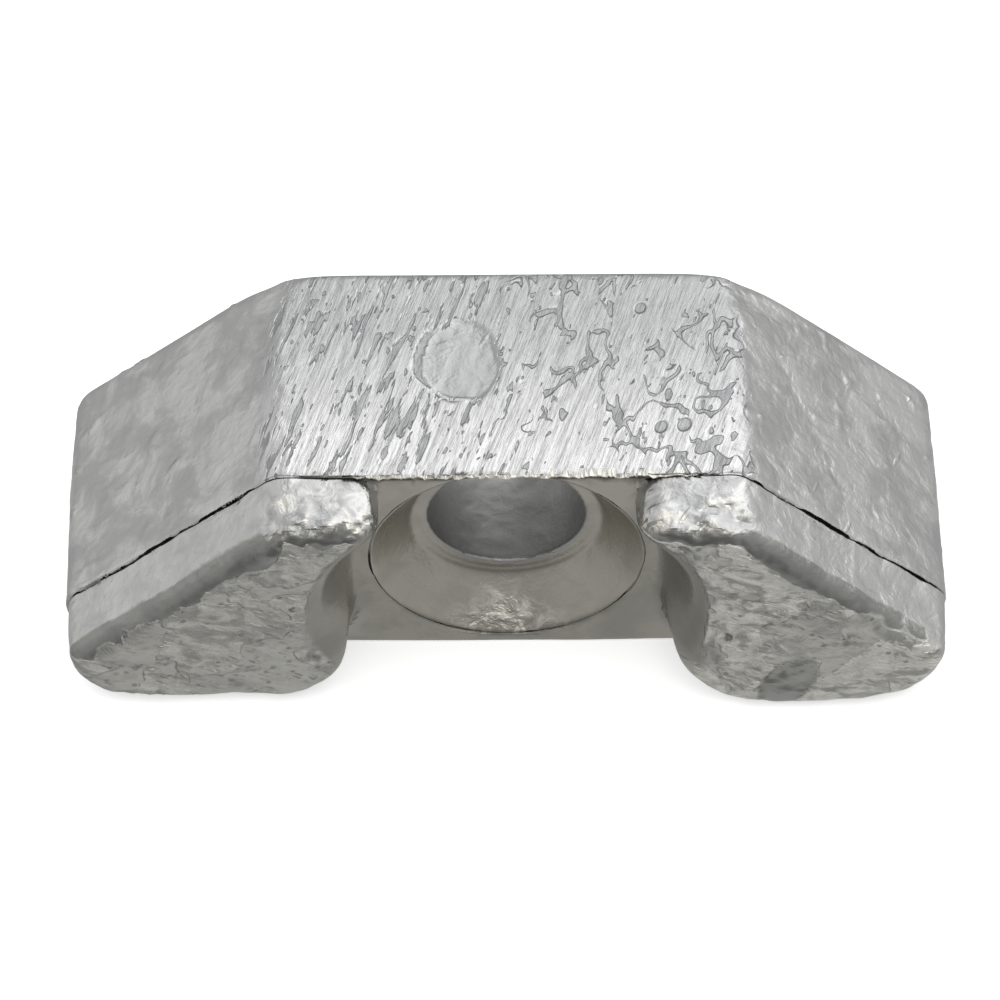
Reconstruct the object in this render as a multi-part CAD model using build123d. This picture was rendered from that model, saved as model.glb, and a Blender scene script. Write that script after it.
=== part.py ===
"""Sacrificial anode: a small die-cast block with one countersunk bolt hole between two pads.

Frame, in millimetres. The bolt-hole axis runs along Y and meets the seat face at the origin.
X is the long way across the block and Z is up: the block lies on its long flat face. The seat
face, which goes against what the anode protects, is at y = 0. The web with the countersink,
and the two pads that stand proud of it on either side of the screw head, face -Y.

The casting comes from a two-part mould that parts at the web. Both halves of it lean in by
the draft, away from that plane, and the pads are set in a little all round: the step is the
mismatch of the mould, which shows as a line round the casting.
"""

import os
from math import cos, radians, sin, tan

from build123d import *

# ---- Countersunk bolt hole ----
SCREW_DIAMETER = 8.0
SCREW_CLEARANCE = 1.0  # on the diameter
COUNTERSINK_DIAMETER = 15.7
COUNTERSINK_ANGLE = 82.0  # degrees, full angle of the cone
LEDGE_WIDTH = 0.95  # flat ring between cone and bore, where the two core pins meet

# ---- Block, seen along the bolt, at the parting plane ----
BLOCK_WIDTH = 50.7
RIM_ABOVE = 0.05  # metal left between the countersink and the flat top
RIM_BELOW = 0.85  # metal left between the countersink and the rest face
SHOULDER_ANGLE = 45.0  # degrees that the two shoulders lean in from the upright
SIDE_STRAIGHT = 0.7  # upright part of each side between its rounded corners, at the seat face
BOTTOM_CORNER_RADIUS = 2.75  # rest face to side
SIDE_CORNER_RADIUS = 2.2  # side to shoulder
TOP_CORNER_RADIUS = 1.5  # shoulder to flat top

# ---- Depths along the bolt, and the casting's draft ----
BLOCK_DEPTH = 14.9  # seat face to web
PAD_DEPTH = 4.15  # web to pad front, at the flat top
PAD_ROOT = 0.5  # how far the pads are carried on into the block, to be one with it
PAD_LEAN = 1.5  # degrees by which the pad fronts lean out towards the rest face
DRAFT_ANGLE = 1.8  # degrees, on every face but the rest face and the bolt hole
SEAT_EDGE_RADIUS = 0.9

# ---- Pads on either side of the screw head ----
PAD_SETBACK = 0.17  # mismatch step at the parting line
PAD_OVERLAP = 0.2  # that each pad's tip stands inside the countersink's width
PAD_FLANK_LEAN = 6.0  # degrees by which the pads' flanks spread apart towards the rest face
PAD_TIP_RADIUS = 1.6  # upper inner corner, seen along the bolt
PAD_HEEL_RADIUS = 4.0  # lower inner corner
PAD_EDGE_RADIUS = 1.1  # round the front face
HEAD_LAND = 1.1  # flat web left round the countersink, inside the scoop
SCOOP_ANGLE = 52.0  # degrees, full angle of the conical scoop that clears the screw head
SCOOP_ROOT_RADIUS = 0.8  # scoop to web
SCOOP_RIM_RADIUS = 2.0  # scoop to pad front
SCOOP_RIM_LEAD = 8.0  # degrees by which the rounded rim runs out through the pad front

# ---- Mark left by the ejector pin on the flat top ----
PIN_MARK_DIAMETER = 5.6
PIN_MARK_DEPTH = 0.12
PIN_MARK_X = -3.1
PIN_MARK_BEHIND_WEB = 8.3

# ---- Worked out from the sizes above ----
BORE_DIAMETER = SCREW_DIAMETER + SCREW_CLEARANCE
LEDGE_DIAMETER = BORE_DIAMETER + 2 * LEDGE_WIDTH
COUNTERSINK_DEPTH = (COUNTERSINK_DIAMETER - LEDGE_DIAMETER) / 2 / tan(radians(COUNTERSINK_ANGLE / 2))
REST_Z = -(COUNTERSINK_DIAMETER / 2 + RIM_BELOW)
TOP_Z = COUNTERSINK_DIAMETER / 2 + RIM_ABOVE
SEAT_INSET = BLOCK_DEPTH * tan(radians(DRAFT_ANGLE))  # what the draft takes by the seat face
CORNER_SLOPE = tan(radians(SHOULDER_ANGLE / 2))
SIDE_HEIGHT = BOTTOM_CORNER_RADIUS + SIDE_STRAIGHT + (SIDE_CORNER_RADIUS + SEAT_INSET) * CORNER_SLOPE
SHOULDER_Z = REST_Z + SIDE_HEIGHT
TOP_FLAT_WIDTH = BLOCK_WIDTH - 2 * (TOP_Z - SHOULDER_Z) * tan(radians(SHOULDER_ANGLE))
WEB_Y = -BLOCK_DEPTH
TIP_X = COUNTERSINK_DIAMETER / 2 - PAD_OVERLAP  # flank at the flat top
HEEL_X = TIP_X + (TOP_Z - REST_Z) * tan(radians(PAD_FLANK_LEAN))  # flank at the rest face
SCOOP_DIAMETER = COUNTERSINK_DIAMETER + 2 * HEAD_LAND  # at the web

TOWARD_SEAT = Plane(origin=(0, WEB_Y, 0), x_dir=(-1, 0, 0), z_dir=(0, 1, 0))
TOWARD_FRONT = Plane(origin=(0, WEB_Y, 0), x_dir=(1, 0, 0), z_dir=(0, -1, 0))


def long_edges(part: Part) -> ShapeList[Edge]:
    """Edges that run along the bolt.

    Args:
        part: what they are looked for on.

    Returns:
        The edges, from the lowest up.
    """
    return part.edges().filter_by(lambda edge: abs(edge.tangent_at(0.5).Y) > 0.9).sort_by(Axis.Z)


def outer_corners(inset: float, low_z: float) -> list[tuple[float, float]]:
    """Corners of the right side of the cross-section, from the lowest up.

    Args:
        inset: how far the side, shoulder and top are set in from the block's own.
        low_z: height of the lower corner.

    Returns:
        The corners (x, z) of side and bottom, side and shoulder, shoulder and top.
    """
    side_x = BLOCK_WIDTH / 2 - inset
    shoulder_z = SHOULDER_Z - inset * CORNER_SLOPE
    flat_x = TOP_FLAT_WIDTH / 2 - inset * tan(radians((90 - SHOULDER_ANGLE) / 2))
    return [(side_x, low_z), (side_x, shoulder_z), (flat_x, TOP_Z - inset)]


def make_block() -> Part:
    """Rear half of the casting, from the web to the seat face, still without its hole.

    Returns:
        The drafted block with rounded corners and a level rest face.
    """
    right = outer_corners(0, REST_Z - SEAT_INSET)
    left = [(-x, z) for x, z in reversed(right)]
    outline = make_face(Polyline(*right, *left, close=True))
    block = extrude(TOWARD_SEAT * outline, BLOCK_DEPTH, taper=DRAFT_ANGLE)
    block = split(block, Plane.XY.offset(REST_Z), keep=Keep.TOP)
    block = fillet(long_edges(block)[4:6], TOP_CORNER_RADIUS)
    block = fillet(long_edges(block)[2:4], SIDE_CORNER_RADIUS)
    block = fillet(long_edges(block)[0:2], BOTTOM_CORNER_RADIUS)
    return fillet(block.faces().sort_by(Axis.Y)[-1].edges(), SEAT_EDGE_RADIUS)


def scoop_core() -> Part:
    """What clears the screw head: a cone that opens forwards and ends in a bell mouth.

    Returns:
        A solid of revolution about the bolt axis, from the web to well past the pads.
    """
    front_y = WEB_Y - PAD_DEPTH
    rim_r = SCOOP_DIAMETER / 2 + PAD_DEPTH * tan(radians(SCOOP_ANGLE / 2))
    lead_y = front_y - SCOOP_DIAMETER * tan(radians(SCOOP_RIM_LEAD))
    profile = FilletPolyline(
        (0, WEB_Y),
        (SCOOP_DIAMETER / 2, WEB_Y),
        (rim_r, front_y),
        (rim_r + SCOOP_DIAMETER, lead_y),
        (0, lead_y),
        radius=[0, SCOOP_ROOT_RADIUS, SCOOP_RIM_RADIUS, 0, 0],
        close=True,
    )
    return revolve(make_face(profile), Axis.Y)


def make_pad() -> Part:
    """Right pad, with its share of the conical scoop that clears the screw head.

    Returns:
        The pad, from the web to its front face.
    """
    low_z = REST_Z + PAD_SETBACK
    lean = radians(PAD_LEAN)
    corners = [
        (HEEL_X, low_z),
        *outer_corners(PAD_SETBACK, low_z),
        (TIP_X, TOP_Z - PAD_SETBACK),
    ]
    radii = [
        PAD_HEEL_RADIUS,
        BOTTOM_CORNER_RADIUS - PAD_SETBACK,
        SIDE_CORNER_RADIUS - PAD_SETBACK,
        TOP_CORNER_RADIUS - PAD_SETBACK,
        PAD_TIP_RADIUS,
    ]
    outline = make_face(FilletPolyline(*corners, radius=radii, close=True))
    pad = extrude(TOWARD_FRONT.offset(-PAD_ROOT) * outline, 2 * PAD_DEPTH, taper=DRAFT_ANGLE)
    front = Plane(origin=(0, WEB_Y - PAD_DEPTH, TOP_Z), z_dir=(0, -cos(lean), sin(lean)))
    pad = split(pad, front, keep=Keep.BOTTOM)
    pad = fillet(pad.faces().sort_by(Axis.Y)[0].edges(), PAD_EDGE_RADIUS)
    return pad - scoop_core()


def hole_core() -> Part:
    """Shape of the mould's core pins: what is taken away for the bolt and its head.

    Returns:
        The bore, ledge and countersink as one solid of revolution about the bolt axis.
    """
    ledge_y = WEB_Y + COUNTERSINK_DEPTH
    profile = Polyline(
        (0, SCREW_DIAMETER),  # well past the seat face
        (BORE_DIAMETER / 2, SCREW_DIAMETER),
        (BORE_DIAMETER / 2, ledge_y),
        (LEDGE_DIAMETER / 2, ledge_y),
        (COUNTERSINK_DIAMETER / 2, WEB_Y),
        (0, WEB_Y),
        close=True,
    )
    return revolve(make_face(profile), Axis.Y)


def pin_mark() -> Part:
    """Shallow round dent that the ejector pin leaves, square to the drafted top.

    Returns:
        The disc to take away from the block.
    """
    lean = radians(DRAFT_ANGLE)
    centre = (
        PIN_MARK_X,
        WEB_Y + PIN_MARK_BEHIND_WEB,
        TOP_Z - PIN_MARK_BEHIND_WEB * tan(lean),
    )
    top = Plane(origin=centre, x_dir=(1, 0, 0), z_dir=(0, sin(lean), cos(lean)))
    return top * Cylinder(PIN_MARK_DIAMETER / 2, 2 * PIN_MARK_DEPTH)


pad = make_pad()
anode = make_block() + pad + mirror(pad, Plane.YZ) - hole_core() - pin_mark()

os.makedirs("parts", exist_ok=True)
export_step(anode, "parts/anode_casting.step")
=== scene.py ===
"""Sacrificial anode as it comes out of the mould: a die-cast block, dressed round its CAD model.

The CAD node gives every size. The casting is made again from a copy of it, in the two halves
that the mould has: the block behind the parting plane and the two pads in front of it. Each
half gets its own skin of drag marks, cold wrinkles and pits, and a thin flash stands where the
halves met. Lengths are millimetres in the classes below and metres in Blender.
"""

import logging
import math
from dataclasses import dataclass, fields
from enum import Enum

import bpy
import numpy as np
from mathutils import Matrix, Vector


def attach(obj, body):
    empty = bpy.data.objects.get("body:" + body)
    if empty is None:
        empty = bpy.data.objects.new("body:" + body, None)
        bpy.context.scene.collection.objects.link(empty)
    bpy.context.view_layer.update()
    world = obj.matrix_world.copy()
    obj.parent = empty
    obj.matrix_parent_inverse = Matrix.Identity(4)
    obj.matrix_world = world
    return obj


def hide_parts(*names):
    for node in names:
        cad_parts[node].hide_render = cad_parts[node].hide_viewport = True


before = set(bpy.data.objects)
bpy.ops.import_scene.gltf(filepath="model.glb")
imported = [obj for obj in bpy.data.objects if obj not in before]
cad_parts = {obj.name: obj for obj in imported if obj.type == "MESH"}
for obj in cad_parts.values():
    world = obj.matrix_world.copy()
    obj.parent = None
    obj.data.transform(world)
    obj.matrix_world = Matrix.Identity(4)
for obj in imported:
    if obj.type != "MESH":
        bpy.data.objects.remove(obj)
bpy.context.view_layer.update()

MM = 0.001
NODE = "anode_casting"
WEB = 14.9  # millimetres from the seat face to the plane where the mould halves meet
WEIGHT_STEPS = 24  # weights of a vertex group, from 0 to 1
WELD = 1e-7  # metres within which points of the CAD mesh are one
Field = np.ndarray
Socket = bpy.types.NodeSocket
Vec3 = tuple[float, float, float]
log = logging.getLogger("anode")


# ---- Small helpers ----


def only(piece: bpy.types.Object) -> None:
    """Makes a piece the one that is selected and active.

    Args:
        piece: the object that the next operator acts on.
    """
    bpy.ops.object.select_all(action="DESELECT")
    piece.select_set(True)
    bpy.context.view_layer.objects.active = piece


def ease(value: Field, low: float, high: float) -> Field:
    """Smooth step from 0 at low to 1 at high; with high under low it runs the other way.

    Args:
        value: numbers to map.
        low: where the step starts.
        high: where it ends.

    Returns:
        Numbers from 0 to 1.
    """
    t = np.clip((value - low) / (high - low), 0.0, 1.0)
    return t * t * (3.0 - 2.0 * t)


def points_of(piece: bpy.types.Object) -> tuple[Field, Field]:
    """Places and normals of a mesh's points.

    Args:
        piece: a mesh object at the origin.

    Returns:
        Places in millimetres and unit normals, one row each per point.
    """
    count = len(piece.data.vertices)
    places, normals = np.empty(count * 3), np.empty(count * 3)
    piece.data.vertices.foreach_get("co", places)
    piece.data.vertices.foreach_get("normal", normals)
    return places.reshape(-1, 3) / MM, normals.reshape(-1, 3)


def move_points(piece: bpy.types.Object, places: Field) -> None:
    """Puts a mesh's points at new places.

    Args:
        piece: a mesh object at the origin.
        places: the new places in millimetres.
    """
    piece.data.vertices.foreach_set("co", (places * MM).ravel())
    piece.data.update()


def weigh(piece: bpy.types.Object, name: str, zone: Field) -> None:
    """Gives a piece a vertex group from a zone, in even steps.

    Args:
        piece: a mesh object.
        name: the group's name.
        zone: weight of each point, 0 to 1.
    """
    group = piece.vertex_groups.new(name=name)
    steps = np.rint(np.clip(zone, 0, 1) * WEIGHT_STEPS).astype(int)
    for step in range(1, WEIGHT_STEPS + 1):
        group.add(np.flatnonzero(steps == step).tolist(), step / WEIGHT_STEPS, "REPLACE")


# ---- Relief of the cast skin ----


class Grain(Enum):
    """Kinds of pattern that a relief is made of."""

    CLOUD = "CLOUDS"
    WORM = "DISTORTED_NOISE"
    CELL = "VORONOI"


@dataclass(frozen=True)
class Relief:
    """One pattern of dents and bumps, pressed into the skin along its normal.

    Args:
        name: what a founder would call it.
        grain: kind of pattern.
        size: size of its features along X, Y and Z.
        height: from the pattern's lowest to its highest, negative to turn it over.
        turn: degrees that it is turned about Z.
        ramp: pattern values at which the dents start and end; between them it is steep.
        depth: number of a cloud's finer layers.
        swirl: how far worms are bent.
        level: pattern value that stays where the skin was.
    """

    name: str
    grain: Grain
    size: Vec3
    height: float
    turn: float = 0.0
    ramp: tuple[float, float] | None = None
    depth: int = 2
    swirl: float = 1.6
    level: float = 0.5

    def texture(self) -> bpy.types.Texture:
        """Makes the pattern.

        Returns:
            A procedural texture with features one unit in size.
        """
        texture = bpy.data.textures.new(self.name, self.grain.value)
        texture.noise_scale = 1.0
        if self.grain is Grain.CLOUD:
            texture.noise_depth = self.depth
        elif self.grain is Grain.WORM:
            texture.noise_distortion = "ORIGINAL_PERLIN"
            texture.noise_basis = "IMPROVED_PERLIN"
            texture.distortion = self.swirl
        if self.ramp:
            texture.use_color_ramp = True
            low, high = texture.color_ramp.elements
            low.position, high.position = self.ramp
            low.color, high.color = (0, 0, 0, 1), (1, 1, 1, 1)
        return texture

    def press(self, piece: bpy.types.Object, zone: Field) -> None:
        """Presses the relief into a piece.

        Args:
            piece: a mesh object at the origin.
            zone: how strongly each point takes it, 0 to 1.
        """
        weigh(piece, self.name, zone)
        guide = bpy.data.objects.new(self.name, None)
        bpy.context.collection.objects.link(guide)
        guide.scale = [s * MM for s in self.size]
        guide.rotation_euler = (0, 0, math.radians(self.turn))
        bpy.context.view_layer.update()
        only(piece)
        press = piece.modifiers.new(self.name, "DISPLACE")
        press.texture = self.texture()
        press.texture_coords = "OBJECT"
        press.texture_coords_object = guide
        press.vertex_group = self.name
        press.strength = self.height * MM
        press.mid_level = self.level
        bpy.ops.object.modifier_apply(modifier=press.name)
        bpy.data.textures.remove(bpy.data.textures[self.name])
        bpy.data.objects.remove(guide)
        piece.vertex_groups.remove(piece.vertex_groups[self.name])


# ---- Finish ----


class Nodes:
    """Short names for the shader nodes that the finish is made of.

    Args:
        tree: node tree of the material or world.
        place: socket with the coordinates that patterns follow.
    """

    def __init__(self, tree: bpy.types.NodeTree, place: Socket) -> None:
        self.tree = tree
        self.place = place

    def add(self, kind: str, output: str | int, **values: object) -> Socket:
        """Adds a node.

        Args:
            kind: its type.
            output: the output to hand back.
            values: its settings; a name that starts with in_ is an input's.

        Returns:
            The node's output.
        """
        made = self.tree.nodes.new(kind)
        for key, value in values.items():
            if not key.startswith("in_"):
                setattr(made, key, value)
                continue
            socket = made.inputs[key[3:].replace("_", " ")]
            if isinstance(value, Socket):
                self.tree.links.new(value, socket)
            else:
                socket.default_value = value
        return made.outputs[output]

    def calc(self, operation: str, *terms: Socket | float) -> Socket:
        """Adds a Math node.

        Args:
            operation: what it works out.
            terms: its inputs, numbers or sockets.

        Returns:
            The result.
        """
        result = self.add("ShaderNodeMath", 0, operation=operation)
        for socket, term in zip(result.node.inputs, terms):
            if isinstance(term, Socket):
                self.tree.links.new(term, socket)
            else:
                socket.default_value = term
        return result

    def total(self, *terms: Socket | float) -> Socket:
        """Adds up terms.

        Args:
            terms: two or more numbers or sockets.

        Returns:
            Their sum.
        """
        result = terms[0]
        for term in terms[1:]:
            result = self.calc("ADD", result, term)
        return result

    def times(self, *terms: Socket | float) -> Socket:
        """Multiplies terms.

        Args:
            terms: two or more numbers or sockets.

        Returns:
            Their product.
        """
        result = terms[0]
        for term in terms[1:]:
            result = self.calc("MULTIPLY", result, term)
        return result

    def less(self, term: Socket) -> Socket:
        """Turns a share over.

        Args:
            term: a share from 0 to 1.

        Returns:
            One minus it.
        """
        return self.calc("SUBTRACT", 1.0, term)

    def attribute(self, name: str) -> Socket:
        """Reads one of the piece's point attributes.

        Args:
            name: its name.

        Returns:
            Its value.
        """
        return self.add("ShaderNodeAttribute", "Fac", attribute_name=name)

    def mapped(self, size: Vec3, turn: float, tilt: float = 0.0) -> Socket:
        """Stretches and turns the coordinates.

        Args:
            size: length of one unit of the pattern along X, Y and Z, in millimetres.
            turn: degrees about Z.
            tilt: degrees about Y.

        Returns:
            The pattern's coordinates.
        """
        made = self.add("ShaderNodeMapping", "Vector", vector_type="TEXTURE", in_Vector=self.place)
        made.node.inputs["Scale"].default_value = [s * MM for s in size]
        made.node.inputs["Rotation"].default_value = (0, math.radians(tilt), math.radians(turn))
        return made

    def noise(self, size: Vec3, turn: float = 0.0, detail: float = 2.0, rough: float = 0.5,
              distort: float = 0.0, tilt: float = 0.0) -> Socket:
        """Adds a cloudy pattern.

        Args:
            size: size of its features along X, Y and Z, in millimetres.
            turn: degrees about Z.
            detail: number of finer layers.
            rough: strength of the finer layers.
            distort: how far it is swirled.
            tilt: degrees about Y.

        Returns:
            Values round 0.5.
        """
        return self.add(
            "ShaderNodeTexNoise", "Fac", in_Vector=self.mapped(size, turn, tilt), in_Scale=1.0,
            in_Detail=detail, in_Roughness=rough, in_Distortion=distort,
        )

    def cells(self, size: Vec3, turn: float = 0.0) -> Socket:
        """Adds round cells.

        Args:
            size: spacing of the cells along X, Y and Z, in millimetres.
            turn: degrees about Z.

        Returns:
            The distance from the nearest cell's middle.
        """
        place = self.mapped(size, turn)
        return self.add("ShaderNodeTexVoronoi", "Distance", in_Vector=place, in_Scale=1.0)

    def dashes(self, size: Vec3, turn: float, tilt: float, fill: float) -> Socket:
        """Adds short separate strokes, one in some of the cells.

        Args:
            size: spacing of the cells along X, Y and Z, in millimetres.
            turn: degrees about Z.
            tilt: degrees about Y.
            fill: share of the cells that hold one.

        Returns:
            The share that a stroke covers.
        """
        place = self.mapped(size, turn, tilt)
        cell = self.add("ShaderNodeTexVoronoi", "Distance", in_Vector=place, in_Scale=1.0)
        lot = self.calc("LESS_THAN", cell.node.outputs["Color"], fill)
        return self.times(self.span(cell, 0.34, 0.14), lot)

    def span(self, value: Socket, low: float, high: float, start: float = 0.0,
             end: float = 1.0) -> Socket:
        """Maps a range smoothly and holds the ends.

        Args:
            value: what is mapped.
            low: value that becomes start.
            high: value that becomes end.
            start: result at and below low.
            end: result at and above high.

        Returns:
            The mapped value.
        """
        return self.add(
            "ShaderNodeMapRange", "Result", interpolation_type="SMOOTHSTEP", in_Value=value,
            in_From_Min=low, in_From_Max=high, in_To_Min=start, in_To_Max=end,
        )

    def mix(self, share: Socket | float, first: Socket | Vec3, second: Socket | Vec3) -> Socket:
        """Blends two colours.

        Args:
            share: how much of the second.
            first: a colour.
            second: another.

        Returns:
            The blend.
        """
        result = self.add("ShaderNodeMix", 2, data_type="RGBA", in_Factor=share)
        for index, colour in ((6, first), (7, second)):
            if isinstance(colour, Socket):
                self.tree.links.new(colour, result.node.inputs[index])
            else:
                result.node.inputs[index].default_value = (*colour, 1.0)
        return result


@dataclass(frozen=True)
class Zones:
    """Where each kind of skin lies: sockets that read the casting's point attributes.

    Args:
        drag: the flat top, which the mould dragged.
        right: the right half of the casting.
        fore: nearness to the parting plane.
        pin: the ejector pin's mark.
        trench: the crescent beside that mark.
        front: the pads' rough fronts and feet.
        brow: how far points lie below the fronts' upper edges, in millimetres.
        strip: where the painted shade under those edges may lie.
        stain: the smooth oval patch on the right pad.
        band: the pads' outer sides.
        tip: the pads' bright upper ends.
        glint: the lower edges of those ends.
        plain: the calm web, countersink and scoops.
        sink: the countersink, and the web's upper corners, where painted light lies.
        splash: the painted glints at the countersink's foot.
        bore: the bolt hole.
        crack: how far the parting line may gape.
        rim: where the painted shade round the countersink may show.
        under: the painted shadow in the gap beneath the flash.
        fin: the flash.
    """

    drag: Socket
    right: Socket
    fore: Socket
    pin: Socket
    trench: Socket
    front: Socket
    brow: Socket
    strip: Socket
    stain: Socket
    band: Socket
    tip: Socket
    glint: Socket
    plain: Socket
    sink: Socket
    splash: Socket
    bore: Socket
    crack: Socket
    rim: Socket
    under: Socket
    fin: Socket

    @classmethod
    def read(cls, n: Nodes) -> "Zones":
        """Reads them all from the attributes that Casting.mark_zones writes.

        Args:
            n: the material's nodes.

        Returns:
            The zones.
        """
        return cls(*(n.attribute(zone.name) for zone in fields(cls)))


@dataclass(frozen=True)
class CastMetal:
    """Finish of the bare casting: grey where the melt chilled, bright where the mould dragged it.

    Args:
        skin: colour of the plain grey skin.
        pale: colour of its lighter clouds.
        dragged: colour of the flat top, which the mould scuffed.
        rim_highlight: colour of the painted highlight on the rims round its slots.
        slot: colour of the painted shade at the bottom of the top's slots and pits.
        pin: colour of the smooth mark that the ejector pin left; it also paints the shade toward
            the back of the flat top and the tips' darker clouds.
        front: colour of the pads' rough fronts.
        patch: colour of their darker, smoother patches.
        smooth: colour of the web and the countersink.
        warm: colour of their lighter clouds, of the warmer countersink and of the painted light on
            the web's upper corners.
        hollow: colour of the bore.
        brow: colour of the painted shade in the smooth strip along the upper edge of the pads'
            fronts and in their pits and gouges, and of their dark blotches and oval stain.
        cream: colour of the painted glints on the flash, the pads' burrs, the tips' lower edges
            and the countersink's foot.
        crack_shade: colour of the painted shade in the parting line and round the countersink's
            rim, and of the painted shadow beneath the flash.
        rim_radius: radius of the line round the countersink, in millimetres.
        relief: depth of one unit of the fine relief, in millimetres.
    """

    skin: Vec3 = (0.535, 0.535, 0.53)
    pale: Vec3 = (0.71, 0.71, 0.70)
    dragged: Vec3 = (0.82, 0.825, 0.82)
    rim_highlight: Vec3 = (0.96, 0.965, 0.96)
    slot: Vec3 = (0.41, 0.415, 0.42)
    pin: Vec3 = (0.50, 0.505, 0.505)
    front: Vec3 = (0.96, 0.95, 0.88)
    patch: Vec3 = (0.57, 0.565, 0.525)
    smooth: Vec3 = (0.365, 0.355, 0.315)
    warm: Vec3 = (0.51, 0.49, 0.43)
    hollow: Vec3 = (0.56, 0.56, 0.55)
    brow: Vec3 = (0.335, 0.335, 0.32)
    cream: Vec3 = (0.96, 0.93, 0.84)
    crack_shade: Vec3 = (0.012, 0.011, 0.010)
    rim_radius: float = 7.87
    relief: float = 0.035

    def make(self) -> bpy.types.Material:
        """Builds the material.

        Returns:
            The cast metal, patterned on Object coordinates in metres.
        """
        material = bpy.data.materials.new("cast_metal_skin")
        material.use_nodes = True
        tree = material.node_tree
        tree.nodes.clear()
        n = Nodes(tree, tree.nodes.new("ShaderNodeTexCoord").outputs["Object"])
        coat = Coat(n, self)
        shader = n.add(
            "ShaderNodeBsdfPrincipled", "BSDF", in_Base_Color=coat.colour(), in_Metallic=1.0,
            in_Roughness=coat.roughness(), in_Normal=coat.bump(),
        )
        tree.links.new(shader, tree.nodes.new("ShaderNodeOutputMaterial").inputs["Surface"])
        return material


class Coat:
    """The nodes that lay the metal's colours and fine relief over the zones.

    Args:
        n: the material's nodes.
        metal: the finish.
    """

    def __init__(self, n: Nodes, metal: CastMetal) -> None:
        self.n, self.metal, self.at = n, metal, Zones.read(n)
        # Patterns that run all over the skin.
        self.cloud = n.noise((3.6, 3.6, 3.6), 0, 4.0, 0.6, 0.4)
        self.blotch = n.noise((1.0, 1.0, 1.0), 0, 4.0, 0.6, 0.6)
        self.streak = n.noise((0.24, 2.8, 2.8), -18, 4.0, 0.65, 0.15)
        self.mottle = n.noise((2.6, 2.6, 1.3), 0, 4.0, 0.62, 0.8, 20)
        self.pit = n.span(n.cells((1.3, 1.3, 1.0)), 0.17, 0.09)
        self.burr_and_glint = n.dashes((1.5, 1.5, 0.26), 0, 24, 0.34)
        # The share of each place that a kind of mark or skin covers.
        at = self.at
        self.sunk = n.calc("MAXIMUM", n.times(self.slots(), at.drag), at.trench)
        self.lip = n.times(self.sunk, n.less(self.sunk), 4.0)
        self.split = self.cracks()
        self.shade = self.dark_strip()
        self.wild = n.less(n.calc("MAXIMUM", at.plain, at.bore))
        self.rolling = n.times(self.wild, n.less(n.times(at.front, 0.85)))
        even = n.span(n.noise((3.9, 3.9, 3.9), 0, 3.0, 0.5, 0.5), 0.52, 0.56)
        self.even = n.times(n.calc("MAXIMUM", even, at.stain), 0.7)
        self.torn = n.times(at.front, n.less(self.shade), n.less(self.even))
        falling = n.dashes((1.7, 1.7, 0.30), 0, -12, 0.13)
        rising = n.dashes((1.2, 1.2, 0.24), 0, 34, 0.12)
        self.gouge = n.times(n.calc("MAXIMUM", falling, rising), n.less(at.stain))

    def slots(self) -> Socket:
        """Works out where the flat top is sunk: slots on the left, worms and pits on the right.

        Returns:
            The share that is sunk, with short slopes.
        """
        n, right = self.n, self.at.right
        left = n.less(right)
        long = n.noise((0.41, 2.8, 2.8), -18, 2.0, 0.5, 0.3)
        long = n.span(n.calc("SUBTRACT", long, n.times(right, 0.14)), 0.555, 0.635)
        worms = n.noise((1.5, 2.3, 2.3), -16, 1.0, 0.5, 0.55)
        shut = n.span(n.noise((3.4, 3.4, 3.4), 0, 1.0), 0.47, 0.55, 0.06, 0.0)
        worms = n.calc("ABSOLUTE", n.calc("SUBTRACT", worms, 0.5))
        worm = n.span(n.total(worms, shut, n.times(left, 0.07)), 0.052, 0.024)
        cell = n.total(n.cells((2.4, 3.2, 3.2), -25), n.times(left, 0.2))
        oval = n.span(cell, 0.20, 0.13)
        speckle = n.span(n.noise((0.42, 1.0, 1.0), -17, 1.0, 0.5, 0.5), 0.66, 0.72)
        return n.calc("MAXIMUM", n.calc("MAXIMUM", long, worm), n.calc("MAXIMUM", oval, speckle))

    def cracks(self) -> Socket:
        """Works out where the parting line and the countersink's rim gape, which is painted in
        shade.

        Returns:
            The share that is an open crack.
        """
        n, crack = self.n, self.at.crack
        axes = n.add("ShaderNodeSeparateXYZ", "Y", in_Vector=n.place)
        across, along, up = (n.times(axes.node.outputs[i], 1.0 / MM) for i in range(3))
        radius = n.calc("SQRT", n.total(n.times(across, across), n.times(up, up)))
        swerve = n.calc("MULTIPLY_ADD", n.noise((1.6, 1.6, 1.6), 0, 3.0, 0.6), 0.30, -0.15)
        width = n.span(n.noise((2.6, 2.6, 2.6), 0, 2.0), 0.42, 0.68, 0.0, 0.075)
        seam = n.calc("ABSOLUTE", n.total(along, WEB, n.times(swerve, crack)))
        seam = n.span(n.calc("SUBTRACT", seam, n.times(width, crack)), 0.045, 0.0)
        ring = n.calc("ABSOLUTE", n.total(radius, -self.metal.rim_radius, n.times(swerve, 0.5)))
        ring = n.span(n.calc("SUBTRACT", ring, n.times(width, 0.6)), 0.035, 0.0)
        gape = n.span(n.noise((3.1, 3.1, 3.1), 0, 1.0), 0.44, 0.54, 0.45, 1.0)
        seam = n.times(seam, n.calc("GREATER_THAN", crack, 0.02))
        return n.calc("MAXIMUM", seam, n.times(ring, self.at.rim, gape))

    def dark_strip(self) -> Socket:
        """Works out the ragged strip of painted shade under the fronts' upper edges, narrower on
        the right.

        Returns:
            The share that it covers.
        """
        n, at = self.n, self.at
        ragged = n.noise((3.0, 3.0, 3.0), 0, 3.0, 0.5, 0.3)
        tear = n.calc("MULTIPLY_ADD", at.right, -1.6, 3.0)
        least = n.calc("MULTIPLY_ADD", at.right, 0.6, -0.1)
        edge = n.calc("SUBTRACT", at.brow, n.calc("MULTIPLY_ADD", ragged, tear, least))
        return n.times(n.span(edge, 0.12, 0.0), at.strip)

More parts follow.
